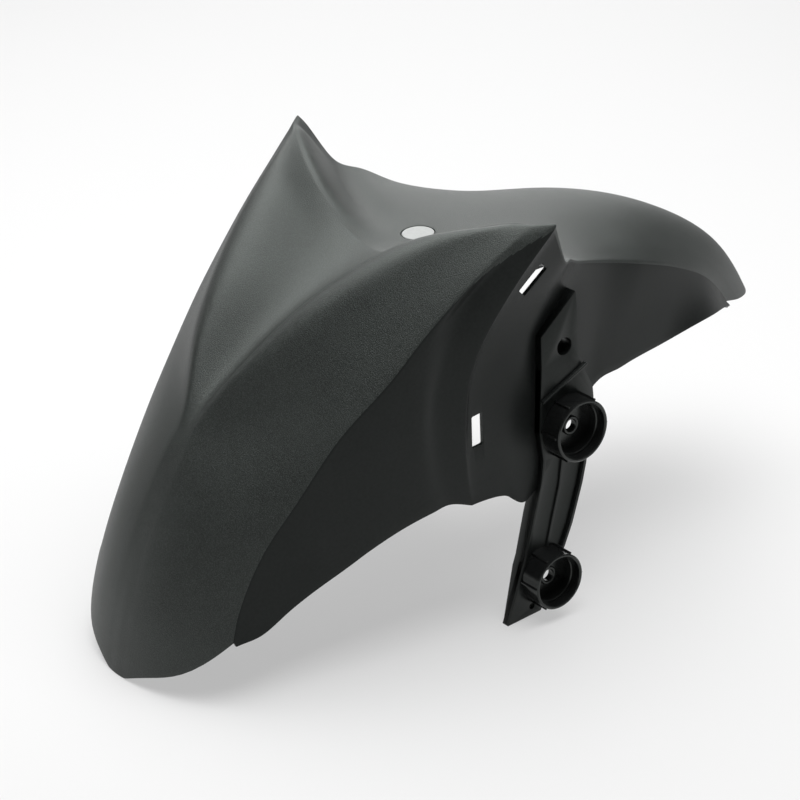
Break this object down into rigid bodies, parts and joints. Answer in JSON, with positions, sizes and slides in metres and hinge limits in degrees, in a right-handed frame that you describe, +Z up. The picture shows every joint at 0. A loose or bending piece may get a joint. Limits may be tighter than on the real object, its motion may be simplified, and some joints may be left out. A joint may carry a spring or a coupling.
{
  "type": "motorcycle front mudguard",
  "caption": "One-piece plastic front mudguard with a scooped, winged hood, a saddle over the tyre and a drilled mounting plate with round cups on each side.",
  "frame": {"origin": "on the ground under the middle of the guard, which stands on its front tip and on the feet of its side plates", "axes": "+X forward, +Y to the rider's left, +Z up; the centre plane is y = 0"},
  "size_m": [0.5826, 0.2844, 0.308],
  "materials": {
    "shell": "fine-grained satin moulding, charcoal black",
    "plug": "smooth satin, pale silver grey"
  },
  "bodies": {
    "root": {"mudguard": "shell", "blanking_plug": "plug"}
  },
  "joints": []
}
